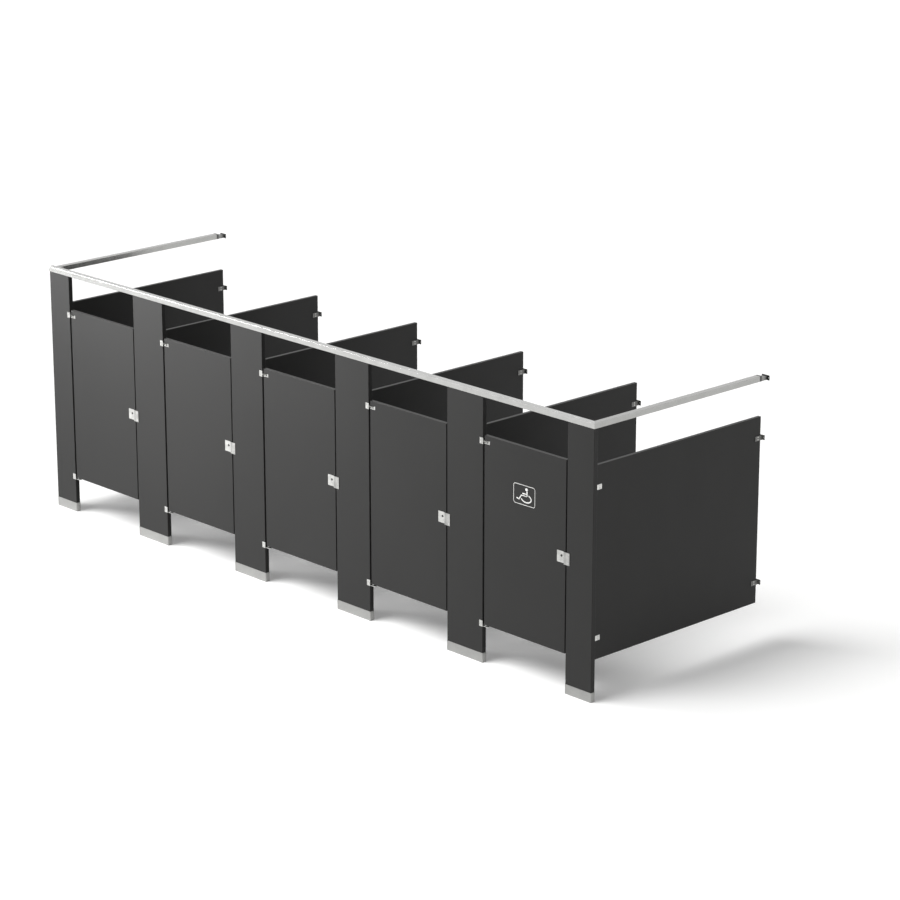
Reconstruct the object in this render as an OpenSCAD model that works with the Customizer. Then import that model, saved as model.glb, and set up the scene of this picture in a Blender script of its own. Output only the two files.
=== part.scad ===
// Overhead-braced toilet compartments: a run of five cubicles that stands against a wall.
// The wall's face is the plane y = 0 and the floor is z = 0. The run's middle is x = 0,
// the fronts face -y, and all sizes are millimetres.

/* [Run] */
// Distance from the wall to the front faces of the pilasters
depth = 1850; // [1400:10:2100]
// Height from the floor to the top of the head rail
overall_h = 2110; // [2040:1:2300]
// Open space under doors and panels
floor_gap = 305; // [200:5:350]

/* [Doors and panels] */
// Width of one door
door_w = 838; // [600:1:915]
// Height of doors and panels
leaf_h = 1473; // [1370:1:1640]
// Thickness of doors and panels
leaf_t = 32; // [28:1:36]
// Radius of the rolled edges
edge_r = 3; // [1:0.5:5]
// Gap between a door and the pilasters beside it
door_gap = 13; // [11:1:18]
// Gap between a panel and the back of its pilaster
panel_front_gap = 3; // [2:1:20]
// Gap between a panel and the wall
panel_wall_gap = 22; // [10:1:40]
// How far an end panel stands in from the outer edge of its pilaster
end_panel_inset = 35; // [4:1:60]

/* [Pilasters] */
// Width of a pilaster between two doors
pilaster_w = 380; // [240:5:500]
// Width of the pilaster at each end of the run
end_pilaster_w = 260; // [180:1:400]
// Thickness of a pilaster
pilaster_t = 38; // [36:1:50]
// Height of a pilaster's lower edge above the floor
foot_gap = 25; // [20:1:45]

/* [Shoes and feet] */
// Height of a shoe
shoe_h = 76; // [60:1:150]
// Sheet thickness of a shoe
shoe_wall = 2; // [1:0.5:3]
// Space between a shoe and its pilaster
shoe_clear = 0.5; // [0.2:0.1:0.9]
// Radius of a levelling foot's pad
pad_r = 16; // [12:1:18]
// Thickness of the pad
pad_h = 5; // [3:1:7]
// Radius of the levelling screw
foot_screw_r = 5; // [4:0.5:8]
// Height of the levelling nut
foot_nut_h = 8; // [5:1:10]
// Radius across the nut's corners
foot_nut_r = 9.5; // [9:0.5:14]

/* [Head rail] */
// Height of the rail
rail_h = 42; // [40:1:60]
// Wall of the extrusion
rail_wall = 3; // [2:0.5:4]
// Depth of the channel that takes the pilasters' tops
rail_channel = 28; // [20:1:30]
// Space between the channel and a pilaster, each side
rail_side_clear = 2; // [0.5:0.5:4]
// Radius of the rail's outer edges
rail_r = 2; // [1:0.5:2.5]
// Radius of the grip flutes along the rail's top
flute_r = 2; // [1:0.5:2.5]
// Distance of each flute from the rail's middle line
flute_x = 9; // [5:1:12]
// How far the left return rail stands in from the end pilaster's edge
left_rail_inset = 30; // [10:1:60]
// Distance of a return rail's end from the wall
rail_wall_gap = 95; // [60:5:110]
// Length of the block on the wall that carries the rail's end
socket_len = 130; // [115:5:170]
// Thickness of the collar between the rail's end and the bare part of the block
collar_t = 22; // [8:1:30]
// Thickness of the block's wall plate
socket_t = 3; // [2:0.5:5]
// How far the wall plate stands out on each side of the block
socket_flange = 16; // [14:1:40]
// How far the wall plate stands out above and below the block
socket_lap = 5; // [1:1:12]
// Length of each leg of the mitre key
key_leg = 120; // [80:5:200]
// Leg of the angle behind the left joint
tee_leg = 42; // [30:1:60]

/* [Panel brackets] */
// Height of a bracket
bracket_h = 38; // [34:1:80]
// Sheet thickness of the brackets
bracket_t = 3; // [2:0.5:3.5]
// Length of panel that a wall bracket's ears grip
wall_grip = 60; // [30:1:90]
// Length of panel that the ears at the pilaster grip
pilaster_grip = 76; // [40:1:110]
// Width of each side flange
bracket_flange = 20; // [15:1:40]
// Distance of the bracket's middle from the panel's upper or lower edge
bracket_inset = 165; // [60:5:300]
// Radius of the fixing holes
screw_hole_r = 3.2; // [2:0.1:4]

/* [Hinges] */
// Width of a hinge plate on the pilaster's face
hinge_flange = 32; // [25:1:60]
// Height of a hinge plate
hinge_h = 48; // [44:1:90]
// Sheet thickness of hinge straps and keepers
strap_t = 3; // [2:0.5:3.5]
// Pivot's distance from the door's hinge edge
hinge_inset = 12; // [12:0.5:14]
// Distance of the top hinge plate below the door's top
hinge_drop = 21; // [5:1:60]
// Width of the door's hinge window
window_w = 56; // [48:1:80]
// Height of the door's hinge window
window_h = 26; // [24:1:36]
// Distance of the window's lower edge above the hinge plate's
window_rise = 5; // [0:1:8]
// Thickness of the door's hinge piece below the recess
shelf_t = 6; // [4:1:10]
// Thickness of the hinge piece beside the recess
cheek_t = 15; // [8:1:20]
// Thickness of the top hinge's ear
ear_t = 4; // [3:0.5:7]
// Radius of the top ear's end
ear_r = 9; // [7:0.5:11]
// Radius of the top hinge pin
top_pin_r = 4; // [3:0.5:5]
// Length of the bottom hinge's ear from the pilaster's edge
foot_ear_len = 50; // [42:1:70]
// Thickness of the bottom hinge's ear
foot_ear_t = 5; // [4:0.5:8]
// Radius of the hinge cams
cam_r = 13; // [11:0.5:15]
// Height of the lower cam
cam_h = 8; // [5:0.5:12]
// Height of the upper cam's rim
cam_rim = 4; // [3:0.5:8]
// Radius of the upper cam's stem in the door
cam_stem_r = 8.5; // [7.5:0.5:9]
// Length of the stem
cam_stem_h = 30; // [20:1:45]
// Radius of the bottom hinge pin
foot_pin_r = 5; // [4:0.5:6]
// Length of the bottom pin inside the door
foot_pin_rise = 20; // [10:1:28]

/* [Latch] */
// Distance of the latch's spindle from the door's free edge
latch_inset = 38; // [34:1:54]
// Height of the spindle above the door's lower edge
latch_z = 745; // [600:5:900]
// Width of the outside plate
plate_w = 67; // [56:1:75]
// Height of the outside plate and of the inside case
plate_h = 88; // [82:1:120]
// Distance of the plate's and the case's middle below the spindle
plate_drop = 9; // [0:1:12]
// Space between the plate and the keeper's stop
plate_gap = 4; // [2:1:6]
// Thickness of the outside plate
plate_t = 3; // [2:0.5:5]
// Radius of the plate's corners
plate_r = 4; // [2:0.5:8]
// Width of the inside case
case_w = 66; // [64:1:90]
// Wall of the case round the bolt
case_wall = 4; // [3:0.5:6]
// Space between the case and the door's free edge
case_edge = 6; // [5:1:10]
// Radius of the spindle
spindle_r = 6; // [4:0.5:7]
// Radius of the slotted head outside
head_r = 9; // [8:0.5:11]
// Width of the slot in the head
slot_w = 2.5; // [1.5:0.5:4]
// Radius of the knob's round base
knob_r = 15; // [12:0.5:17]
// Length of the knob's wing
wing_len = 38; // [30:1:44]
// Thickness of the wing
wing_t = 9; // [6:0.5:14]
// How far the wing stands out
wing_h = 16; // [10:1:25]
// Thickness of the bolt
bolt_t = 8; // [5:0.5:12]
// Height of the bolt
bolt_h = 22; // [16:1:24]
// Length of the bolt
bolt_len = 54; // [50:1:70]
// Travel of the bolt
bolt_throw = 28; // [24:1:32]
// Distance of the bolt's middle below the spindle
bolt_drop = 22; // [20:0.5:26]

/* [Keeper] */
// Width of the keeper on the pilaster
keeper_w = 32; // [24:1:50]
// Height of the keeper
keeper_h = 94; // [84:1:120]
// Overlap of the keeper's stop in front of the door
stop_lap = 12; // [10:1:14]
// Width of the groove that sets the stop off from the keeper's plate
groove_w = 3; // [1:0.5:5]
// Depth of that groove
groove_t = 1.2; // [0.5:0.1:1.6]
// Distance of the keeper's middle below the spindle
keeper_drop = 13; // [9:1:16]
// Length of the strike beyond the thrown bolt's end
strike_spare = 13; // [4:1:16]
// Room between bolt and strike, above, below and behind
strike_clear = 1; // [0.6:0.1:2]
// Radius of the stop's rubber pads
bumper_r = 4.5; // [3:0.5:5]
// Distance of each pad from the keeper's middle
bumper_z = 30; // [20:1:34]

/* [Coat hook] */
// Distance of the hook's middle below the door's top
hook_drop = 120; // [80:5:300]
// Width of the hook's back plate
hook_plate_w = 28; // [22:1:50]
// Height of the back plate
hook_plate_h = 60; // [50:1:90]
// How far the hook stands out from the door
hook_reach = 52; // [40:1:80]
// Radius of the hook's rod
hook_rod_r = 4.5; // [3:0.5:6]
// Radius of the hook's bend
hook_bend_r = 15; // [12:1:20]
// Radius of the rubber tip that stops the door at the panel
hook_tip_r = 9; // [7:0.5:12]

/* [Hidden] */
$fn = 48;

// Number of compartments
stalls = 5;
// Overlap that makes a cut or a joined piece run through a face
cut = 1;
// Room between a strap and the flat piece that it holds
seat = 0.2;
// Room round a pin that turns in its hole
run_fit = 0.05;
// Room round pieces that pass each other without touching
pass = 0.3;
// Room round the spindle inside the door
door_room = 1;

// Colours
leaf_colour = [0.22, 0.22, 0.22];
rail_colour = [0.86, 0.86, 0.84];
steel_colour = [0.72, 0.72, 0.70];
zinc_colour = [0.78, 0.78, 0.76];
rubber_colour = [0.08, 0.08, 0.08];
nylon_colour = [0.16, 0.16, 0.17];

// Places along the run
run_w = 2 * end_pilaster_w + (stalls - 1) * pilaster_w + stalls * (door_w + 2 * door_gap);
bay = door_w + 2 * door_gap + pilaster_w;
function pilaster_width(i) = i == 1 || i == stalls + 1 ? end_pilaster_w : pilaster_w;
function door_x(i) = -run_w / 2 + end_pilaster_w + door_gap + (i - 1) * bay;
function pilaster_x(i) = i == 1 ? -run_w / 2 : door_x(i - 1) + door_w + door_gap;
end_panel_x = run_w / 2 - end_panel_inset - leaf_t / 2;
function panel_x(i) = i == 1 ? -end_panel_x
    : i == stalls + 1 ? end_panel_x
    : pilaster_x(i) + pilaster_w / 2;

// Places from front to back
front_y = -depth;
back_y = front_y + pilaster_t;
recess = (pilaster_t - leaf_t) / 2;
door_y = front_y + recess;
panel_len = depth - pilaster_t - panel_front_gap - panel_wall_gap;

// Heights
leaf_top = floor_gap + leaf_h;
rail_z = overall_h - rail_h;
pilaster_top = rail_z + rail_channel;
latch_height = floor_gap + latch_z;
bolt_z = latch_height - bolt_drop;

// Head rail
channel_w = pilaster_t + 2 * rail_side_clear;
rail_d = channel_w + 2 * rail_wall;
rail_over = rail_side_clear + rail_wall;
cell_h = rail_h - rail_channel - 2 * rail_wall;
rail_front_y = front_y - rail_over;
rail_right_x = run_w / 2 + rail_over;
left_rail_x = -run_w / 2 + left_rail_inset + rail_d / 2;
right_rail_x = rail_right_x - rail_d / 2;

// Hinges
pivot = door_gap + hinge_inset;
ear_gap = 1;
pin_proud = 2;
window_z = leaf_h - hinge_drop - hinge_h + window_rise;
ear_z = window_z + shelf_t + ear_gap;
foot_ear_z = floor_gap - cam_rim - cam_h - foot_ear_t;

// Latch and keeper
bolt_y = pilaster_t + seat + strap_t + strike_clear - recess - leaf_t;
case_d = bolt_y + bolt_t + case_wall;
bolt_proud = 2;
bolt_tip = case_edge - bolt_proud;
strike_len = bolt_throw - bolt_tip - door_gap + strike_spare;
head_proud = 1.5;

// Rectangle with round corners, centred
module rounded_rect(w, h, r) {
    square([w - 2 * r, h], center = true);
    square([w, h - 2 * r], center = true);
    for (sx = [-1, 1], sy = [-1, 1])
        translate([sx * (w / 2 - r), sy * (h / 2 - r)])
            circle(r = r);
}

// Steel-faced leaf: its rolled edges meet in mitres at the corners
module leaf(w, t, h) {
    translate([w / 2, t / 2, h / 2])
        intersection() {
            linear_extrude(h, center = true)
                rounded_rect(w, t, edge_r);
            rotate([90, 0, 90])
                linear_extrude(w, center = true)
                    rounded_rect(t, h, edge_r);
        }
}

// Plate on edge in the plane y = 0, standing towards -y, with round corners
module face_plate(w, h, t, r) {
    rotate([90, 0, 0])
        linear_extrude(t)
            rounded_rect(w, h, r);
}

// Round bar along y that starts at the origin and runs towards +y
module rod_y(r, length) {
    rotate([-90, 0, 0])
        cylinder(r = r, h = length);
}

// Strap that wraps a pilaster's right-hand edge, which is at x = 0, from front face to back face
module edge_strap(flange, h) {
    difference() {
        translate([-flange, -seat - strap_t, 0])
            cube([flange + seat + strap_t, pilaster_t + 2 * (seat + strap_t), h]);
        translate([-flange - cut, -seat, -cut])
            cube([flange + cut + seat, pilaster_t + 2 * seat, h + 2 * cut]);
    }
}

// Upright between the doors, hung from the head rail and standing on its levelling feet
module pilaster(i) {
    color(leaf_colour)
        translate([pilaster_x(i), front_y, foot_gap])
            leaf(pilaster_width(i), pilaster_t, pilaster_top - foot_gap);
}

// Stainless sleeve round a pilaster's foot, open above and below
module shoe(i) {
    w = pilaster_width(i) + 2 * shoe_clear;
    t = pilaster_t + 2 * shoe_clear;
    color(steel_colour)
        translate([pilaster_x(i) + pilaster_width(i) / 2, front_y + pilaster_t / 2, 0])
            difference() {
                linear_extrude(shoe_h)
                    rounded_rect(w + 2 * shoe_wall, t + 2 * shoe_wall, edge_r + shoe_clear + shoe_wall);
                translate([0, 0, -cut])
                    linear_extrude(shoe_h + 2 * cut)
                        rounded_rect(w, t, edge_r + shoe_clear);
            }
}

// Two levelling screws under each pilaster, with pad and nut, hidden in the shoe
module levelling_feet() {
    color(zinc_colour)
        for (i = [1 : stalls + 1], s = [-1, 1])
            translate([pilaster_x(i) + pilaster_width(i) * (2 + s) / 4, front_y + pilaster_t / 2, 0]) {
                cylinder(r = pad_r, h = pad_h);
                cylinder(r = foot_screw_r, h = foot_gap);
                translate([0, 0, pad_h + (foot_gap - pad_h - foot_nut_h) / 2])
                    cylinder(r = foot_nut_r, h = foot_nut_h, $fn = 6);
            }
}

// Side wall of a compartment, from the back of its pilaster nearly to the wall
module panel(i) {
    color(leaf_colour)
        translate([panel_x(i) + leaf_t / 2, back_y + panel_front_gap, floor_gap])
            rotate([0, 0, 90])
                leaf(panel_len, leaf_t, leaf_h);
}

// U-shaped bracket: a base on the plane y = 0, two ears towards -y that grip a panel,
// and side flanges (left and right are 0 or 1) with a fixing hole each
module panel_bracket(reach, left, right) {
    half = leaf_t / 2 + seat + bracket_t;
    translate([0, 0, -bracket_h / 2])
        difference() {
            union() {
                translate([-half, -reach, 0])
                    cube([2 * half, reach, bracket_h]);
                translate([-half - left * bracket_flange, -bracket_t, 0])
                    cube([2 * half + (left + right) * bracket_flange, bracket_t, bracket_h]);
            }
            translate([-leaf_t / 2 - seat, -reach - cut, -cut])
                cube([leaf_t + 2 * seat, reach - bracket_t + cut, bracket_h + 2 * cut]);
            for (s = [-left, right])
                if (s != 0)
                    translate([s * (half + bracket_flange / 2), -bracket_t - cut, bracket_h / 2])
                        rod_y(screw_hole_r, bracket_t + 2 * cut);
        }
}

// Brackets on the wall, two for every panel, near its upper and its lower edge
module panel_wall_brackets() {
    color(steel_colour)
        for (i = [1 : stalls + 1], z = [floor_gap + bracket_inset, leaf_top - bracket_inset])
            translate([panel_x(i), 0, z])
                panel_bracket(panel_wall_gap + wall_grip, 1, 1);
}

// Brackets at the same heights on the pilasters' backs; at the ends of the run there is one flange
module panel_pilaster_brackets() {
    color(steel_colour)
        for (i = [1 : stalls + 1], z = [floor_gap + bracket_inset, leaf_top - bracket_inset])
            translate([panel_x(i), back_y, z])
                mirror([0, 1, 0])
                    panel_bracket(panel_front_gap + pilaster_grip, i > 1 ? 1 : 0, i <= stalls ? 1 : 0);
}

// Section of the head rail: channel below, closed cell above, two grip flutes along the top
module rail_section() {
    difference() {
        translate([0, rail_h / 2])
            rounded_rect(rail_d, rail_h, rail_r);
        translate([-channel_w / 2, -cut])
            square([channel_w, rail_channel + cut]);
        translate([-channel_w / 2, rail_channel + rail_wall])
            square([channel_w, cell_h]);
        for (s = [-1, 1])
            translate([s * flute_x, rail_h + flute_r / 2])
                circle(r = flute_r);
    }
}

// Length of rail along +x from the origin, which is in the middle of its underside
module rail_x(length) {
    rotate([90, 0, 90])
        linear_extrude(length)
            rail_section();
}

// Half plane beyond (1) or before (-1) the mitre, as a cutter at the outer corner
module mitre_cutter(side) {
    far = 2 * rail_d;
    translate([rail_right_x, rail_front_y, rail_z - cut])
        linear_extrude(rail_h + 2 * cut)
            polygon([[far, -far], [-far, far], [side * far, side * far]]);
}

// Rail along the fronts: square at its left end, mitred at its right end
module headrail_front() {
    left_x = -run_w / 2 - rail_over;
    color(rail_colour)
        difference() {
            translate([left_x, rail_front_y + rail_d / 2, rail_z])
                rail_x(rail_right_x - left_x);
            mitre_cutter(1);
        }
}

// Return rail to the wall, butted against the back of the front rail
module headrail_left() {
    start = rail_front_y + rail_d;
    color(rail_colour)
        translate([left_rail_x, start, rail_z])
            rotate([0, 0, 90])
                rail_x(-rail_wall_gap - start);
}

// Return rail to the wall, mitred to the front rail
module headrail_right() {
    color(rail_colour)
        difference() {
            translate([right_rail_x, rail_front_y, rail_z])
                rotate([0, 0, 90])
                    rail_x(-rail_wall_gap - rail_front_y);
            mitre_cutter(-1);
        }
}

// Wall socket, drawn from the middle of the rail's underside: a block in the rail's channel,
// a collar at the rail's end and a plate on the wall
module rail_socket() {
    block_w = channel_w - 2 * seat;
    block_h = rail_channel - seat;
    plate_w = block_w + 2 * socket_flange;
    difference() {
        union() {
            translate([-block_w / 2, -socket_len, 0])
                cube([block_w, socket_len, block_h]);
            translate([0, -rail_wall_gap + collar_t, rail_h / 2])
                face_plate(rail_d, rail_h, collar_t, rail_r);
            translate([-plate_w / 2, -socket_t, -socket_lap])
                cube([plate_w, socket_t, block_h + 2 * socket_lap]);
        }
        for (s = [-1, 1])
            translate([s * (block_w + socket_flange) / 2, -socket_t - cut, block_h / 2])
                rod_y(screw_hole_r, socket_t + 2 * cut);
    }
}

// Key inside the mitre, angle behind the left joint, cap on the rail's left end and the wall sockets
module headrail_fittings() {
    key_w = channel_w - 2 * pass;
    key_h = cell_h - 2 * pass;
    inner_x = left_rail_x + rail_d / 2;
    inner_y = rail_front_y + rail_d;
    color(steel_colour) {
        translate([right_rail_x, rail_front_y + rail_d / 2, rail_z + rail_channel + rail_wall + pass]) {
            translate([-key_leg, -key_w / 2, 0])
                cube([key_leg + key_w / 2, key_w, key_h]);
            translate([-key_w / 2, -key_w / 2, 0])
                cube([key_w, key_leg + key_w / 2, key_h]);
        }
        translate([inner_x, inner_y, rail_z + rail_r])
            difference() {
                cube([tee_leg, tee_leg, rail_h - 2 * rail_r]);
                translate([bracket_t, bracket_t, -cut])
                    cube([tee_leg, tee_leg, rail_h]);
            }
        translate([-run_w / 2 - rail_over, rail_front_y + rail_d / 2, rail_z + rail_h / 2])
            rotate([0, -90, 0])
                linear_extrude(bracket_t)
                    rounded_rect(rail_h, rail_d, rail_r);
        for (x = [left_rail_x, right_rail_x])
            translate([x, 0, rail_z])
                rail_socket();
    }
}

// Top hinge on the pilaster: strap and an ear that reaches into the door's window
module top_hinge_brackets() {
    color(zinc_colour)
        for (i = [1 : stalls])
            translate([door_x(i) - door_gap, front_y, floor_gap])
                difference() {
                    union() {
                        translate([0, 0, leaf_h - hinge_drop - hinge_h])
                            edge_strap(hinge_flange, hinge_h);
                        translate([seat, pilaster_t / 2 - ear_r, ear_z])
                            cube([pivot - seat, 2 * ear_r, ear_t]);
                        translate([pivot, pilaster_t / 2, ear_z])
                            cylinder(r = ear_r, h = ear_t);
                    }
                    translate([pivot, pilaster_t / 2, ear_z - cut])
                        cylinder(r = top_pin_r + run_fit, h = ear_t + 2 * cut);
                }
}

// Bottom hinge on the pilaster: strap, an ear under the door's corner and the pin that carries the door
module bottom_hinge_brackets() {
    color(zinc_colour)
        for (i = [1 : stalls])
            translate([door_x(i) - door_gap, front_y, foot_ear_z]) {
                edge_strap(hinge_flange, hinge_h);
                translate([seat, pilaster_t / 2 - cam_r, 0])
                    cube([foot_ear_len - cam_r - seat, 2 * cam_r, foot_ear_t]);
                translate([foot_ear_len - cam_r, pilaster_t / 2, 0])
                    cylinder(r = cam_r, h = foot_ear_t);
                translate([pivot, pilaster_t / 2, 0])
                    cylinder(r = foot_pin_r, h = foot_ear_t + cam_h + cam_rim + foot_pin_rise);
            }
}

// Nylon cam that lies on the bottom ear, round the pin
module lower_cams() {
    color(nylon_colour)
        for (i = [1 : stalls])
            translate([door_x(i) + hinge_inset, front_y + pilaster_t / 2, foot_ear_z + foot_ear_t])
                difference() {
                    cylinder(r = cam_r, h = cam_h);
                    translate([0, 0, -cut])
                        cylinder(r = foot_pin_r + pass, h = cam_h + 2 * cut);
                }
}

// Keeper on the latch side: strap round the pilaster's edge, stop in front of the door
// and the strike behind the pilaster that takes the bolt
module keeper() {
    strike_y = pilaster_t + seat + strap_t;
    strike_d = bolt_t + 2 * strike_clear + strap_t;
    strike_h = bolt_h + 2 * (strike_clear + strap_t);
    strike_z = keeper_drop - bolt_drop;
    difference() {
        translate([0, 0, -keeper_h / 2]) {
            mirror([1, 0, 0])
                edge_strap(keeper_w, keeper_h);
            translate([-door_gap - stop_lap, -seat - strap_t, 0])
                cube([door_gap + stop_lap, strap_t, keeper_h]);
        }
        translate([-door_gap, -seat - strap_t - cut, -keeper_h / 2 - cut])
            cube([groove_w, groove_t + cut, keeper_h + 2 * cut]);
    }
    difference() {
        translate([0, strike_y - strap_t / 2, strike_z - strike_h / 2])
            cube([strike_len, strike_d + strap_t / 2, strike_h]);
        translate([-cut, strike_y, strike_z - bolt_h / 2 - strike_clear])
            cube([strike_len + 2 * cut, bolt_t + 2 * strike_clear, bolt_h + 2 * strike_clear]);
    }
}

module keepers() {
    color(zinc_colour)
        for (i = [1 : stalls])
            translate([door_x(i) + door_w + door_gap, front_y, latch_height - keeper_drop])
                keeper();
}

// Rubber pads on the back of each stop, which the closed door rests against
module keeper_bumpers() {
    color(rubber_colour)
        for (i = [1 : stalls], s = [-1, 1])
            translate([door_x(i) + door_w - stop_lap / 2, front_y - seat,
                    latch_height - keeper_drop + s * bumper_z])
                rod_y(bumper_r, recess + seat - pass);
}

// Moves from the run's frame to the lower left corner of a door's front face
module at_door(i) {
    translate([door_x(i), door_y, floor_gap])
        children();
}

// Door leaf, with the hinge window, the cam's bore and the spindle's bore
module door(i) {
    color(leaf_colour)
        at_door(i)
            difference() {
                leaf(door_w, leaf_t, leaf_h);
                translate([-cut, -cut, window_z])
                    cube([window_w + cut, leaf_t + 2 * cut, window_h]);
                translate([hinge_inset, leaf_t / 2, -cut])
                    cylinder(r = cam_stem_r + seat, h = cam_stem_h + seat + cut);
                translate([door_w - latch_inset, -cut, latch_z])
                    rod_y(spindle_r + door_room, leaf_t + 2 * cut);
            }
}

// What the door carries of its hinges: shelf, cheek and pin in the window, and the upper cam below
module door_hinge(i) {
    color(zinc_colour)
        at_door(i) {
            translate([0, 0, window_z])
                difference() {
                    translate([0, seat, seat])
                        cube([window_w - seat, leaf_t - 2 * seat, window_h - 2 * seat]);
                    translate([-cut, -cut, shelf_t])
                        cube([window_w - cheek_t + cut, leaf_t + 2 * cut, window_h]);
                }
            translate([hinge_inset, leaf_t / 2, window_z + shelf_t / 2])
                cylinder(r = top_pin_r, h = shelf_t / 2 + ear_gap + ear_t + pin_proud);
            translate([hinge_inset, leaf_t / 2, -cam_rim])
                difference() {
                    union() {
                        cylinder(r = cam_r, h = cam_rim);
                        cylinder(r = cam_stem_r, h = cam_rim + cam_stem_h);
                    }
                    translate([0, 0, -cut])
                        cylinder(r = foot_pin_r + run_fit, h = cam_rim + foot_pin_rise + 2 * cut);
                }
        }
}

// Outside plate and inside case of the latch
module latch_case(i) {
    plate_x = door_w - stop_lap - plate_gap - plate_w / 2;
    case_x = door_w - case_edge - case_w / 2;
    spindle_x = door_w - latch_inset;
    color(zinc_colour)
        at_door(i) {
            difference() {
                translate([plate_x, 0, latch_z - plate_drop])
                    face_plate(plate_w, plate_h, plate_t, plate_r);
                translate([spindle_x, -plate_t - cut, latch_z])
                    rod_y(head_r + pass, plate_t + 2 * cut);
            }
            difference() {
                translate([case_x, leaf_t + case_d, latch_z - plate_drop])
                    face_plate(case_w, plate_h, case_d, plate_r);
                translate([spindle_x, leaf_t - cut, latch_z])
                    rod_y(spindle_r + run_fit, case_d + 2 * cut);
                translate([door_w - bolt_tip - bolt_len - pass, leaf_t + bolt_y - pass,
                        latch_z - bolt_drop - bolt_h / 2 - pass])
                    cube([bolt_len + case_edge, bolt_t + 2 * pass, bolt_h + 2 * pass]);
            }
        }
}

// Spindle through the door, with the slotted head outside and the thumb-turn inside
module latch_turn(i) {
    head_h = plate_t + head_proud - pass;
    knob_y = leaf_t + case_d + pass;
    color(zinc_colour)
        at_door(i)
            translate([door_w - latch_inset, 0, latch_z]) {
                difference() {
                    translate([0, -plate_t - head_proud, 0])
                        rod_y(head_r, head_h);
                    translate([-slot_w / 2, -plate_t - head_proud - cut, -head_r - cut])
                        cube([slot_w, cut + head_proud, 2 * (head_r + cut)]);
                }
                translate([0, -pass - cut, 0])
                    rod_y(spindle_r, knob_y + pass + 2 * cut);
                translate([0, knob_y, 0])
                    rod_y(knob_r, strap_t);
                translate([0, knob_y + wing_h, 0])
                    face_plate(wing_t, wing_len, wing_h, wing_t / 2 - pass);
            }
}

// Flat bolt with a round nose
module latch_bolt(i) {
    color(steel_colour)
        at_door(i)
            translate([door_w - bolt_tip - bolt_len / 2, leaf_t + bolt_y + bolt_t, latch_z - bolt_drop])
                face_plate(bolt_len, bolt_h, bolt_t, bolt_h / 4);
}

// Coat hook inside the door: back plate, bumper rod above and bent hook below
module coat_hook(i) {
    plate = 4;
    rod_z = hook_plate_h / 4;
    hook_z = -hook_plate_h / 4;
    arm = hook_reach - hook_bend_r - hook_rod_r;
    color(zinc_colour)
        at_door(i)
            translate([door_w / 2, leaf_t, leaf_h - hook_drop]) {
                translate([0, plate, 0])
                    face_plate(hook_plate_w, hook_plate_h, plate, plate_r);
                translate([0, 0, rod_z]) {
                    rod_y(hook_rod_r, hook_reach);
                    translate([0, hook_reach, 0])
                        rod_y(hook_tip_r, hook_tip_r);
                }
                translate([0, 0, hook_z]) {
                    rod_y(hook_rod_r, arm);
                    translate([0, arm, hook_bend_r])
                        rotate([90, 0, 90])
                            rotate([0, 0, -90])
                                rotate_extrude(angle = 90)
                                    translate([hook_bend_r, 0])
                                        circle(r = hook_rod_r);
                    translate([0, arm + hook_bend_r, hook_bend_r])
                        sphere(r = hook_rod_r);
                }
            }
}

pilaster(1);  // pilaster_1
pilaster(2);  // pilaster_2
pilaster(3);  // pilaster_3
pilaster(4);  // pilaster_4
pilaster(5);  // pilaster_5
pilaster(6);  // pilaster_6
shoe(1);  // shoe_1
shoe(2);  // shoe_2
shoe(3);  // shoe_3
shoe(4);  // shoe_4
shoe(5);  // shoe_5
shoe(6);  // shoe_6
panel(1);  // panel_1
panel(2);  // panel_2
panel(3);  // panel_3
panel(4);  // panel_4
panel(5);  // panel_5
panel(6);  // panel_6
levelling_feet();
panel_wall_brackets();
panel_pilaster_brackets();
headrail_front();
headrail_left();
headrail_right();
headrail_fittings();
top_hinge_brackets();
bottom_hinge_brackets();
lower_cams();
keepers();
keeper_bumpers();
door(1);  // door_1
door(2);  // door_2
door(3);  // door_3
door(4);  // door_4
door(5);  // door_5
door_hinge(1);  // door_hinge_1
door_hinge(2);  // door_hinge_2
door_hinge(3);  // door_hinge_3
door_hinge(4);  // door_hinge_4
door_hinge(5);  // door_hinge_5
latch_case(1);  // latch_case_1
latch_case(2);  // latch_case_2
latch_case(3);  // latch_case_3
latch_case(4);  // latch_case_4
latch_case(5);  // latch_case_5
latch_turn(1);  // latch_turn_1
latch_turn(2);  // latch_turn_2
latch_turn(3);  // latch_turn_3
latch_turn(4);  // latch_turn_4
latch_turn(5);  // latch_turn_5
latch_bolt(1);  // latch_bolt_1
latch_bolt(2);  // latch_bolt_2
latch_bolt(3);  // latch_bolt_3
latch_bolt(4);  // latch_bolt_4
latch_bolt(5);  // latch_bolt_5
coat_hook(1);  // coat_hook_1
coat_hook(2);  // coat_hook_2
coat_hook(3);  // coat_hook_3
coat_hook(4);  // coat_hook_4
coat_hook(5);  // coat_hook_5
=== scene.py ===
# Toilet partition run: five compartments with steel-faced leaves, braced along the top by a head
# rail and fixed along its back, shown on a plain studio floor.
import math

import bmesh
import bpy
from mathutils import Matrix, Vector


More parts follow.
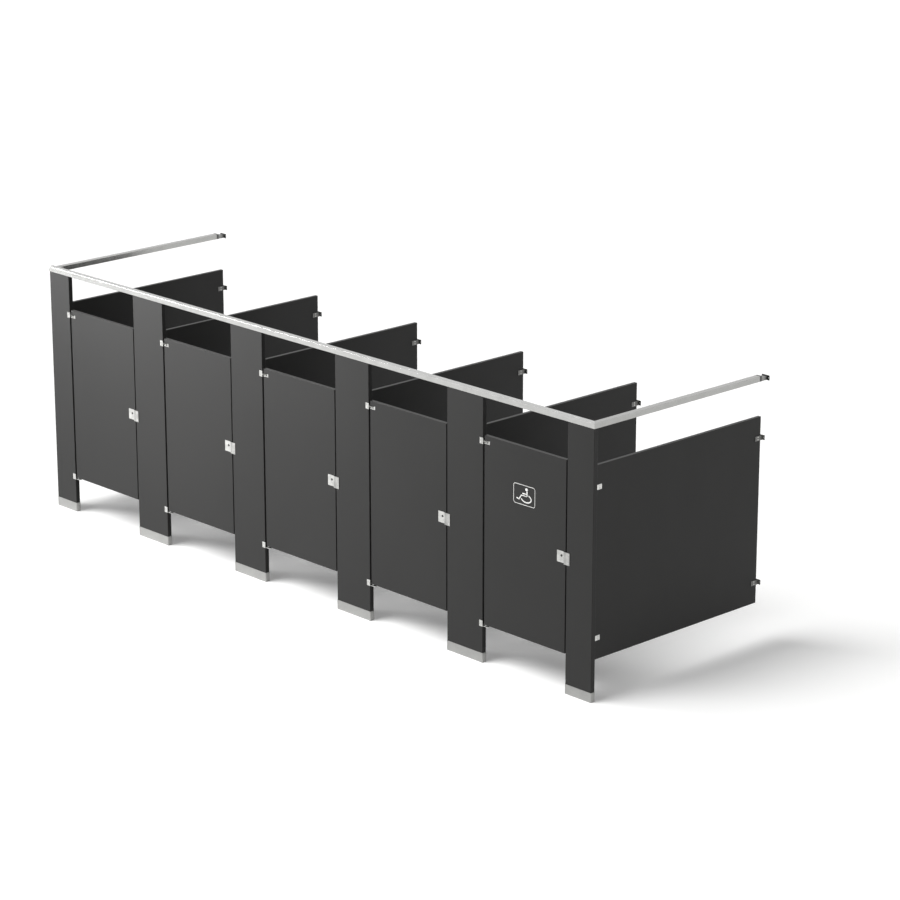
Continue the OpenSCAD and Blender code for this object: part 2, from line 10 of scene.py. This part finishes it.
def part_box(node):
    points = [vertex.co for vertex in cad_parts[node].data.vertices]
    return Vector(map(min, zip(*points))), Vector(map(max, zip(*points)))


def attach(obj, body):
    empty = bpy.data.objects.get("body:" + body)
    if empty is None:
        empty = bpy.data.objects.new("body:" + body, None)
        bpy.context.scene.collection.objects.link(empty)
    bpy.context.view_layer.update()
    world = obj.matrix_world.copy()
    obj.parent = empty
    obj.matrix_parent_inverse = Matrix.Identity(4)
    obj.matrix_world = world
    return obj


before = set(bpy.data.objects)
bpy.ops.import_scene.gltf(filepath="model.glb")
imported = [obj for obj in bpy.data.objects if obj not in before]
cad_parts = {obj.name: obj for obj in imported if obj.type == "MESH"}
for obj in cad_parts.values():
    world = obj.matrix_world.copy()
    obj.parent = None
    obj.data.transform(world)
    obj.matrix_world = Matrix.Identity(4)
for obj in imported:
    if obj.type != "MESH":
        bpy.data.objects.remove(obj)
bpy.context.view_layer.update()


# Pilasters: the uprights between the doors. Each is a honeycomb core between two steel sheets,
# powder coated in charcoal, on two levelling feet and with its top in the head rail. The coat has
# a fine orange peel and dries a little uneven over a leaf's height.
class Flow:
    """A value that runs through a finish's nodes; sums on it add the nodes that work them out."""

    def __init__(self, finish, socket):
        self.finish = finish
        self.socket = socket

    def sum(self, operation, first, second):
        return self.finish.node("ShaderNodeMath", {"operation": operation}, {0: first, 1: second})

    def __add__(self, other):
        return self.sum("ADD", self, other)

    def __mul__(self, other):
        return self.sum("MULTIPLY", self, other)

    __radd__ = __add__


class Finish:
    """The look of one coat or metal; its patterns lie in object coordinates."""

    def __init__(self, name, **constants):
        self.material = bpy.data.materials.new(name)
        self.material.use_nodes = True
        self.tree = self.material.node_tree
        self.shader = self.tree.nodes["Principled BSDF"]
        self.set(self.shader, {key.replace("_", " "): value for key, value in constants.items()})
        self.place = self.node("ShaderNodeTexCoord", output="Object")

    def set(self, node, values):
        for socket, value in values.items():
            if isinstance(value, Flow):
                self.tree.links.new(value.socket, node.inputs[socket])
            else:
                node.inputs[socket].default_value = value

    def node(self, kind, settings=(), values=(), output=0):
        made = self.tree.nodes.new(kind)
        for name, value in dict(settings).items():
            setattr(made, name, value)
        self.set(made, dict(values))
        return Flow(self, made.outputs[output])

    def noise(self, scale, detail=2.0, stretch=(1, 1, 1)):
        """Cloudy noise from 0 to 1; stretch packs it closer along each axis."""
        point = self.node("ShaderNodeMapping", {}, {"Vector": self.place, "Scale": stretch})
        return self.node("ShaderNodeTexNoise", {},
                         {"Vector": point, "Scale": scale, "Detail": detail})

    def mask(self, flow, low, high):
        """0 where flow is below low, 1 above high."""
        return self.node("ShaderNodeMapRange", {"interpolation_type": "SMOOTHSTEP"},
                         {"Value": flow, "From Min": low, "From Max": high})

    def blend(self, mask, first, second):
        """First colour where the mask is 0, second where it is 1."""
        factor, colour_a, colour_b, colour_result = 0, 6, 7, 2
        return self.node("ShaderNodeMix", {"data_type": "RGBA"},
                         {factor: mask, colour_a: first, colour_b: second}, colour_result)

    def bump(self, height, strength, distance):
        return self.node("ShaderNodeBump", {},
                         {"Height": height, "Strength": strength, "Distance": distance})

    def wear(self, *names):
        """Puts this finish on CAD nodes."""
        for name in names:
            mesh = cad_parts[name].data
            mesh.materials.clear()
            mesh.materials.append(self.material)

    def wear_each(self, stem, numbers):
        """Puts this finish on the numbered CAD nodes of one kind."""
        self.wear(*[f"{stem}_{i}" for i in numbers])


pilaster_numbers = range(1, 7)
charcoal = (0.0085, 0.0084, 0.008, 1)
charcoal_dry = (0.0115, 0.0113, 0.0108, 1)

powder_coat = Finish("charcoal_powder_coat", Specular_IOR_Level=0.255)
cloud = powder_coat.noise(scale=0.9, detail=3.0)
peel = powder_coat.noise(scale=420)
grain = powder_coat.noise(scale=2600, detail=1.0)
wiped = powder_coat.noise(scale=5.5, detail=5.0, stretch=(1, 1, 0.35))
dried = powder_coat.mask(cloud * 0.7 + grain * 0.3, low=0.35, high=0.65)
powder_coat.set(powder_coat.shader, {
    "Base Color": powder_coat.blend(dried, charcoal, charcoal_dry),
    "Roughness": 0.4 + wiped * 0.08,
    "Normal": powder_coat.bump(peel * 0.8 + grain * 0.2, strength=0.12, distance=0.0006),
})
powder_coat.wear_each("pilaster", pilaster_numbers)


# Shoes: stainless sleeves, folded from sheet with a satin finish, that hide the levelling feet.
# The feet are zinc plated: a pad, a screw and a hexagon nut under each end of a pilaster.
def drawn_metal(name, colour, roughness, stretch):
    """Metal with fine lines drawn along the axis where stretch is small."""
    metal = Finish(name, Metallic=1.0)
    lines = metal.noise(scale=900, stretch=stretch)
    cloudy = metal.noise(scale=14, detail=3.0)
    drawn = metal.mask(lines * 0.6 + cloudy * 0.4, low=0.3, high=0.7)
    dull = tuple(0.86 * c for c in colour[:3]) + (1,)
    metal.set(metal.shader, {
        "Base Color": metal.blend(drawn, dull, colour),
        "Roughness": roughness - 0.05 + lines * 0.1 + cloudy * 0.06,
        "Normal": metal.bump(lines, strength=0.03, distance=0.0002),
    })
    return metal


satin_steel = drawn_metal("satin_stainless", colour=(0.35, 0.35, 0.342, 1),
                          roughness=0.32, stretch=(0.03, 0.03, 1))
satin_steel.wear_each("shoe", pilaster_numbers)

zinc_dark = (0.50, 0.51, 0.52, 1)
zinc_light = (0.66, 0.66, 0.65, 1)
zinc_plate = Finish("zinc_plate", Metallic=1.0)
spangle = zinc_plate.node("ShaderNodeTexVoronoi", {"feature": "F1"},
                          {"Vector": zinc_plate.place, "Scale": 320.0})
zinc_plate.set(zinc_plate.shader, {
    "Base Color": zinc_plate.blend(spangle, zinc_dark, zinc_light),
    "Roughness": 0.34 + spangle * 0.14,
    "Normal": zinc_plate.bump(zinc_plate.noise(scale=700), strength=0.06, distance=0.0003),
})
zinc_plate.wear("levelling_feet")


# Panels: the partitions between compartments, made and coated as the pilasters are. They hang
# clear of the floor, and brackets at both ends carry them.
powder_coat.wear_each("panel", pilaster_numbers)


# Panel brackets: U-shaped stainless pieces, satin on the pilasters; at the rear they are rougher
# and coloured darker as painted shade. Two bolts with button heads go through each ear and the
# panel.
# The heads have a pin in the recess, so that a plain screwdriver can't turn them.
satin_bracket = drawn_metal("satin_bracket", colour=(0.68, 0.68, 0.663, 1),
                            roughness=0.34, stretch=(1, 1, 0.03))
satin_bracket.wear("panel_pilaster_brackets")
# Painted shade: the rear brackets are the same steel as those on the pilasters, coloured darker.
shaded_rear_bracket = drawn_metal("shaded_rear_bracket", colour=(0.19, 0.19, 0.185, 1),
                                 roughness=0.48, stretch=(1, 1, 0.3))
shaded_rear_bracket.wear("panel_wall_brackets")

scratched_steel = (0.46, 0.46, 0.45, 1)
bright_steel = (0.62, 0.62, 0.60, 1)
screw_metal = Finish("screw_metal", Metallic=1.0)
scratches = screw_metal.noise(scale=1500)
screw_metal.set(screw_metal.shader, {
    "Base Color": screw_metal.blend(scratches, scratched_steel, bright_steel),
    "Roughness": 0.28 + scratches * 0.14,
    "Normal": screw_metal.bump(scratches, strength=0.05, distance=0.0002),
})


def new_mesh(name, shape):
    """A mesh from a bmesh, which isn't needed after it."""
    mesh = bpy.data.meshes.new(name)
    shape.to_mesh(mesh)
    shape.free()
    return mesh


def new_piece(name, mesh, finish):
    """A piece at the origin, with its place in its mesh, that wears a finish."""
    mesh.materials.clear()
    mesh.materials.append(finish.material)
    piece = bpy.data.objects.new(name, mesh)
    bpy.context.collection.objects.link(piece)
    return piece


def pin_heads(name, body, radius, places):
    """Button heads on faces; each place is a point on the face and the way the face looks.

    The insets draw the rim, the recess, its floor and the pin, by width and rise in radii."""
    sides, new_faces, facing = 20, 60, 0.99
    height, crown, rounding = 0.36 * radius, 0.82 * radius, 0.12 * radius
    insets = ((0.3, 0), (0.04, -0.22), (0.16, 0), (0.02, 0.17))
    shape = bmesh.new()
    for point, outward in places:
        outward = Vector(outward)
        turn = outward.to_track_quat("Z", "Y").to_matrix().to_4x4()
        stand = Matrix.Translation(Vector(point) + outward * height / 2) @ turn
        made = bmesh.ops.create_cone(shape, cap_ends=True, segments=sides, radius1=radius,
                                     radius2=crown, depth=height, matrix=stand)["verts"]
        around = {f for v in made for f in v.link_faces}
        top = [f for f in around if f.normal.dot(outward) > facing]
        bmesh.ops.bevel(shape, geom=list(top[0].edges), offset=rounding, offset_type="OFFSET",
                        affect="EDGES", segments=2, profile=0.5, material=-1)
        # The bevel puts the new top among the last faces
        shape.faces.ensure_lookup_table()
        top = [f for f in shape.faces[-new_faces:]
               if len(f.verts) == sides and f.normal.dot(outward) > facing]
        for width, rise in insets:
            bmesh.ops.inset_individual(shape, faces=top, thickness=width * radius,
                                       depth=rise * radius)
    piece = new_piece(name, new_mesh(name, shape), screw_metal)
    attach(piece, body)


forward, backward = (0, -1, 0), (0, 1, 0)
bolt_radius = 0.0055
sheet = 0.003
seat_gap = 0.0002
bracket_inset = 0.165
flange_hole_out = 0.010
ear_hole_rise = 0.0095
rear_ear_reach, front_ear_reach = 0.052, 0.060
flanges_left_out = ((1, -1), (6, 1))
pilaster_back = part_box("pilaster_1")[1].y

wall_screws, pilaster_screws, ear_bolts = [], [], []
for i in pilaster_numbers:
    low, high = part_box(f"panel_{i}")
    middle = (low.x + high.x) / 2
    ear = (high.x - low.x) / 2 + seat_gap + sheet
    for height in (low.z + bracket_inset, high.z - bracket_inset):
        for side in (-1, 1):
            flange = middle + side * (ear + flange_hole_out)
            wall_screws.append(((flange, -sheet, height), forward))
            if (i, side) not in flanges_left_out:
                pilaster_screws.append(((flange, pilaster_back + sheet, height), backward))
            for z in (height - ear_hole_rise, height + ear_hole_rise):
                for y in (-rear_ear_reach, pilaster_back + front_ear_reach):
                    ear_bolts.append(((middle + side * ear, y, z), (side, 0, 0)))
pin_heads("wall_bracket_screws", "frame", bolt_radius, wall_screws)
pin_heads("pilaster_bracket_screws", "frame", bolt_radius, pilaster_screws)
pin_heads("panel_through_bolts", "frame", bolt_radius, ear_bolts)


# Head rail: a satin anodised extrusion with a closed cell above the channel for the pilasters. It
# is mitred at the right over an inner key and butted at the left on an angle. The returns are
# coloured darker than the front rail as painted shade. Each return ends in a block with a dark
# band near the rail, and painted shade darkens the block towards its fixing plate.
rail_along = drawn_metal("rail_front_anodised", colour=(0.53, 0.53, 0.52, 1),
                         roughness=0.15, stretch=(0.012, 1, 1))
rail_along.wear("headrail_front")
# Painted shade: the returns are the same extrusion as the front rail, coloured darker.
shaded_rail_return = drawn_metal("rail_return_anodised", colour=(0.42, 0.42, 0.41, 1),
                          roughness=0.18, stretch=(1, 0.012, 1))
shaded_rail_return.wear("headrail_left", "headrail_right")

bare_dull, bare_bright = (0.42, 0.42, 0.41, 1), (0.50, 0.50, 0.485, 1)
plate_shade, block_grey = (0.045, 0.045, 0.044, 1), (0.26, 0.26, 0.255, 1)
dark_band = (0.10, 0.10, 0.098, 1)
plate_front, block_lit = 0.004, 0.05
dark_band_rear, dark_band_front, soft_edge = 0.073, 0.095, 0.0001

rail_fitting = Finish("rail_fitting_plate", Metallic=1.0)
place_y = rail_fitting.node("ShaderNodeSeparateXYZ", {}, {"Vector": rail_fitting.place}, "Y")
reach = place_y * -1.0
brushed = rail_fitting.noise(scale=700, stretch=(1, 1, 0.05))
bare = rail_fitting.blend(brushed, bare_dull, bare_bright)
# Painted shade: the block goes from grey to near black towards its fixing plate.
in_light = rail_fitting.mask(reach, plate_front, block_lit)
block = rail_fitting.blend(in_light, plate_shade, block_grey)
# Over a band near the rail the fitting's colour turns dark.
past_block = rail_fitting.mask(reach, dark_band_rear - soft_edge, dark_band_rear + soft_edge)
block_and_dark_band = rail_fitting.blend(past_block, block, dark_band)
past_dark_band = rail_fitting.mask(reach, dark_band_front - soft_edge, dark_band_front + soft_edge)
rail_fitting.set(rail_fitting.shader, {
    "Base Color": rail_fitting.blend(past_dark_band, block_and_dark_band, bare),
    "Roughness": 0.36 + brushed * 0.1,
    "Normal": rail_fitting.bump(brushed, strength=0.1, distance=0.0003),
})
rail_fitting.wear("headrail_fittings")

rail_half_width = 0.024
socket_hole_out, socket_hole_rise = 0.0288, 0.0139
socket_screws = []
for rail in ("headrail_left", "headrail_right"):
    low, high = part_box(rail)
    middle = high.x - rail_half_width
    for x in (middle - socket_hole_out, middle + socket_hole_out):
        socket_screws.append(((x, -sheet, low.z + socket_hole_rise), forward))
pin_heads("rail_socket_screws", "frame", bolt_radius, socket_screws)


# Hinges: satin plated castings. Above, a strap round the pilaster's edge holds an ear that goes
# into the door's window round a pin. Below, the strap's ear carries the door on two nylon cams,
# whose slopes bring it back to rest.
def plated_casting(name, dull, bright):
    """Plated casting whose colour goes from dull to bright where it is rubbed."""
    warmth = 0.975
    casting = Finish(name, Metallic=1.0)
    skin = casting.noise(scale=240, detail=3.0)
    rubbed = casting.noise(scale=30, detail=4.0)
    casting.set(casting.shader, {
        "Base Color": casting.blend(casting.mask(rubbed, low=0.35, high=0.65),
                                    (dull, dull, warmth * dull, 1),
                                    (bright, bright, warmth * bright, 1)),
        "Roughness": 0.16 + rubbed * 0.1,
        "Normal": casting.bump(skin, strength=0.1, distance=0.0004),
    })
    return casting


door_numbers = range(1, 6)
satin_cast = plated_casting("satin_plated_casting", dull=0.47, bright=0.57)
satin_cast.wear("top_hinge_brackets", "bottom_hinge_brackets")
satin_cast.wear_each("door_hinge", door_numbers)

nylon_dark = (0.018, 0.018, 0.019, 1)
nylon_light = (0.034, 0.034, 0.035, 1)
black_nylon = Finish("black_nylon", Specular_IOR_Level=0.4)
mould = black_nylon.noise(scale=520, detail=3.0)
black_nylon.set(black_nylon.shader, {
    "Base Color": black_nylon.blend(mould, nylon_dark, nylon_light),
    "Roughness": 0.48 + mould * 0.16,
    "Normal": black_nylon.bump(mould, strength=0.15, distance=0.0003),
})
black_nylon.wear("lower_cams")

strap_screw_radius = 0.0045
strap_screw_in = 0.018
hinge_screw_inset = 0.013
hinge_screws = []
for i in door_numbers:
    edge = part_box(f"pilaster_{i}")[1].x
    for bracket in ("top_hinge_brackets", "bottom_hinge_brackets"):
        low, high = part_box(bracket)
        for rise in (hinge_screw_inset, high.z - low.z - hinge_screw_inset):
            for y, outward in ((low.y, forward), (high.y, backward)):
                hinge_screws.append(((edge - strap_screw_in, y, low.z + rise), outward))
pin_heads("hinge_screws", "frame", strap_screw_radius, hinge_screws)


# Doors: steel-faced leaves like the panels. The rightmost one carries the sign of an accessible
# compartment: a thin dark plate with a light outline and figure printed on it, stuck to the leaf.
powder_coat.wear_each("door", door_numbers)

ink_dull = (0.74, 0.74, 0.72, 1)
ink_bright = (0.84, 0.84, 0.82, 1)
sign_print = Finish("sign_print", Specular_IOR_Level=0.4)
ink = sign_print.noise(scale=900, detail=3.0)
sign_print.set(sign_print.shader, {
    "Base Color": sign_print.blend(ink, ink_dull, ink_bright),
    "Roughness": 0.42 + ink * 0.1,
    "Normal": sign_print.bump(ink, strength=0.08, distance=0.0002),
})

sign_w, sign_h, sign_t = 0.225, 0.156, 0.0008
sign_from_edge, sign_from_foot = 0.415, 1.109
figure_middle, figure_height = 0.51, 0.84
low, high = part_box("door_5")
sign_at = Vector((low.x + sign_from_edge, low.y, low.z + sign_from_foot))


def rounded_outline(inset, corner):
    """Points round a rectangle with round corners on the sign's face, set in from its edge."""
    steps = 8
    points = []
    half_w, half_h = sign_w / 2 - inset, sign_h / 2 - inset
    for quarter, (sx, sz) in enumerate(((1, 1), (-1, 1), (-1, -1), (1, -1))):
        for step in range(steps + 1):
            turn = math.radians(90 * (quarter + step / steps))
            across = sx * (half_w - corner) + corner * math.cos(turn)
            up = sz * (half_h - corner) + corner * math.sin(turn)
            points.append(sign_at + Vector((across, -sign_t, up)))
    return points


def figure_point(across, up):
    """A point of the figure; across and up go from 0 to 1 over the sign's width and height.

    Up is drawn in towards the figure's middle, so that a margin stays above and below it."""
    up = figure_middle + figure_height * (up - figure_middle)
    return sign_at + Vector(((across - 0.5) * sign_w, -sign_t, (up - 0.5) * sign_h))


def figure_arc(across, up, radius_across, radius_up, degrees):
    """Points of the figure on an ellipse, one for each angle."""
    return [figure_point(across + radius_across * math.cos(math.radians(a)),
                         up + radius_up * math.sin(math.radians(a))) for a in degrees]


def printed_mesh(name, strokes, flat):
    """Round lines along points, pressed flat onto the sign's face."""
    lines = bpy.data.curves.new(name, "CURVE")
    lines.dimensions = "3D"
    lines.bevel_depth = 1.0
    lines.bevel_resolution = 4
    lines.use_fill_caps = True
    for points, radius, closed in strokes:
        line = lines.splines.new("POLY")
        line.points.add(len(points) - 1)
        for spot, point in zip(line.points, points):
            spot.co = (*point, 1)
            spot.radius = radius
        line.use_cyclic_u = closed
    holder = bpy.data.objects.new(name + "_lines", lines)
    bpy.context.collection.objects.link(holder)
    bpy.context.view_layer.update()
    evaluated = holder.evaluated_get(bpy.context.evaluated_depsgraph_get())
    mesh = bpy.data.meshes.new_from_object(evaluated)
    bpy.data.objects.remove(holder)
    shape = bmesh.new()
    shape.from_mesh(mesh)
    bmesh.ops.remove_doubles(shape, verts=shape.verts, dist=1e-6)
    face = sign_at.y - sign_t
    press = (Matrix.Translation((0, face, 0)) @ Matrix.Scale(flat, 4, (0, 1, 0))
             @ Matrix.Translation((0, -face, 0)))
    bmesh.ops.transform(shape, verts=shape.verts, matrix=press)
    bmesh.ops.recalc_face_normals(shape, faces=shape.faces)
    shape.to_mesh(mesh)
    shape.free()
    return mesh


stroke, head_stroke, border_stroke = 0.0046, 0.0062, 0.0021
back_stroke = stroke * 1.15
border = rounded_outline(inset=0.0035, corner=0.018)
head = figure_arc(0.602, 0.858, 0.034, 0.034, range(0, 360, 30))
back = [figure_point(0.625, 0.77), figure_point(0.627, 0.47)]
arm = [figure_point(0.42, 0.583), figure_point(0.62, 0.583)]
leg = [figure_point(0.625, 0.462), figure_point(0.365, 0.458), figure_point(0.262, 0.20)]
foot = [figure_point(0.270, 0.188), figure_point(0.153, 0.248)]
wheel = figure_arc(0.587, 0.331, 0.229, 0.225, range(62, -164, -9))
strokes = [
    (border, border_stroke, True),
    (head, head_stroke, True),
    (back, back_stroke, False),
    (arm, stroke, False),
    (leg, stroke, False),
    (foot, stroke, False),
    (wheel, stroke, False),
]
sign_figure = new_piece("sign_figure", printed_mesh("sign_figure", strokes, flat=0.12), sign_print)
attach(sign_figure, "door_5")

plate = bmesh.new()
corners = [plate.verts.new(point + Vector((0, sign_t, 0)))
           for point in rounded_outline(inset=0.0, corner=0.021)]
grown = bmesh.ops.extrude_face_region(plate, geom=[plate.faces.new(corners)])["geom"]
bmesh.ops.translate(plate, verts=[v for v in grown if isinstance(v, bmesh.types.BMVert)],
                    vec=(0, -sign_t, 0))
bmesh.ops.recalc_face_normals(plate, faces=plate.faces)
sign_plate = new_piece("sign_plate", new_mesh("sign_plate", plate), powder_coat)
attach(sign_plate, "door_5")


# Latches: a plate with a slotted emergency spindle outside, and inside a case with a thumb-turn
# that throws a flat bolt. The bolt goes into the strike of a keeper wrapped round the pilaster's
# edge, whose lip stops the door on two rubber pads.
satin_cast.wear_each("latch_case", door_numbers)
keeper_cast = plated_casting("keeper_casting", dull=0.36, bright=0.45)
keeper_cast.wear("keepers")
spindle_cast = plated_casting("spindle_casting", dull=0.06, bright=0.10)
spindle_cast.wear_each("latch_turn", door_numbers)
satin_steel.wear_each("latch_bolt", door_numbers)

rubber_dark = (0.014, 0.014, 0.014, 1)
rubber_bloom = (0.030, 0.030, 0.029, 1)
soft_rubber = Finish("bumper_rubber", Specular_IOR_Level=0.3)
bloom = soft_rubber.noise(scale=600, detail=4.0)
soft_rubber.set(soft_rubber.shader, {
    "Base Color": soft_rubber.blend(bloom, rubber_dark, rubber_bloom),
    "Roughness": 0.66 + bloom * 0.16,
    "Normal": soft_rubber.bump(bloom, strength=0.2, distance=0.0003),
})
soft_rubber.wear("keeper_bumpers")

keeper_screw_inset = 0.014
keeper_screws = []
for i in pilaster_numbers[1:]:
    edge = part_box(f"pilaster_{i}")[0].x
    low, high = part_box("keepers")
    for rise in (keeper_screw_inset, high.z - low.z - keeper_screw_inset):
        keeper_screws.append(((edge + strap_screw_in, low.y, low.z + rise), forward))
pin_heads("keeper_screws", "frame", strap_screw_radius, keeper_screws)

case_screw_radius = 0.004
case_from_edge = 0.072
case_screws_across = (0.009, 0.057)
case_screw_inset = 0.008
for i in door_numbers:
    low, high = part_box(f"latch_case_{i}")
    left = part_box(f"door_{i}")[1].x - case_from_edge
    case_screws = [((left + across, high.y, z), backward) for across in case_screws_across
                   for z in (low.z + case_screw_inset, high.z - case_screw_inset)]
    pin_heads(f"latch_case_screws_{i}", f"door_{i}", case_screw_radius, case_screws)


# Coat hooks: satin plated, one inside each door, screwed through a back plate. The upper rod
# carries a tip that meets the panel when the door is pushed too far.
satin_cast.wear_each("coat_hook", door_numbers)
hook_screw_radius = 0.0035
hook_screw_out = 0.009
hook_plate = 0.004
for i in door_numbers:
    low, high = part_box(f"coat_hook_{i}")
    middle = (low + high) / 2
    hook_screws = [((middle.x + side * hook_screw_out, low.y + hook_plate, middle.z), backward)
                   for side in (-1, 1)]
    pin_heads(f"coat_hook_screws_{i}", f"door_{i}", hook_screw_radius, hook_screws)


# Studio: a pale floor that keeps the object's shadow, a white surround, a broad soft key light
# from the front left and a soft box low beside the leftmost compartment. The camera looks down
# from the front right, and its lens isn't shifted, so the other views stay centred.
def seen_or_mirrored(tree):
    """1 for rays from the camera, off glossy faces or through glass, and 0 for the rest."""
    rays = tree.nodes.new("ShaderNodeLightPath")
    mask = rays.outputs["Is Camera Ray"]
    for kind in ("Glossy", "Transmission"):
        either = tree.nodes.new("ShaderNodeMath")
        either.operation = "MAXIMUM"
        tree.links.new(mask, either.inputs[0])
        tree.links.new(rays.outputs[f"Is {kind} Ray"], either.inputs[1])
        mask = either.outputs[0]
    return mask


white = (1, 1, 1, 1)
pale = (0.88, 0.88, 0.875, 1)
floor_size, floor_glow = 160, 0.18
floor_paint = Finish("studio_floor", Roughness=0.6, Specular_IOR_Level=0.2)
floor_paint.set(floor_paint.shader, {
    "Base Color": pale,
    "Emission Color": white,
    "Emission Strength": Flow(floor_paint, seen_or_mirrored(floor_paint.tree)) * floor_glow,
})
bpy.ops.mesh.primitive_plane_add(size=floor_size, location=(0, 0, 0))
floor = bpy.context.object
floor.name = "studio_floor"
floor.data.materials.append(floor_paint.material)

light_on_object, light_when_seen = 0.24, 1.0
factor, value_a, value_b = 0, 2, 3
world = bpy.data.worlds.new("studio")
bpy.context.scene.world = world
world.use_nodes = True
sky, links = world.node_tree.nodes, world.node_tree.links
strength = sky.new("ShaderNodeMix")
strength.data_type = "FLOAT"
strength.inputs[value_a].default_value = light_on_object
strength.inputs[value_b].default_value = light_when_seen
links.new(seen_or_mirrored(world.node_tree), strength.inputs[factor])
links.new(strength.outputs[0], sky["Background"].inputs["Strength"])
sky["Background"].inputs["Color"].default_value = white


def lamp(name, kind, place, target, energy, **settings):
    """A lamp of the given kind at place that looks at target."""
    light = bpy.data.lights.new(name, kind)
    light.energy = energy
    for key, value in settings.items():
        setattr(light, key, value)
    holder = bpy.data.objects.new(name, light)
    holder.location = place
    holder.rotation_euler = (Vector(target) - Vector(place)).to_track_quat("-Z", "Y").to_euler()
    bpy.context.collection.objects.link(holder)


lamp("key_light", "SUN", place=(-4.5, -8.0, 13.0), target=(0, 0, 0), energy=3.0,
     angle=math.radians(40))
lamp("left_soft_box", "AREA", place=(-9.0, -7.5, 2.4), target=(-1.5, -1.85, 1.5), energy=75,
     shape="RECTANGLE", size=4.0, size_y=3.0, spread=math.radians(44))

camera_place = (17.9793, -17.3414, 8.5219)
looks_down, turned_left = 17.16, 46.41
camera = bpy.data.cameras.new("camera")
camera.sensor_width = 36
camera.lens = 127.1405
camera.clip_end = 200
view_from = bpy.data.objects.new("camera", camera)
view_from.location = camera_place
view_from.rotation_euler = (math.radians(90 - looks_down), 0, math.radians(turned_left))
bpy.context.collection.objects.link(view_from)
bpy.context.scene.camera = view_from
bpy.context.scene.view_settings.view_transform = "Standard"
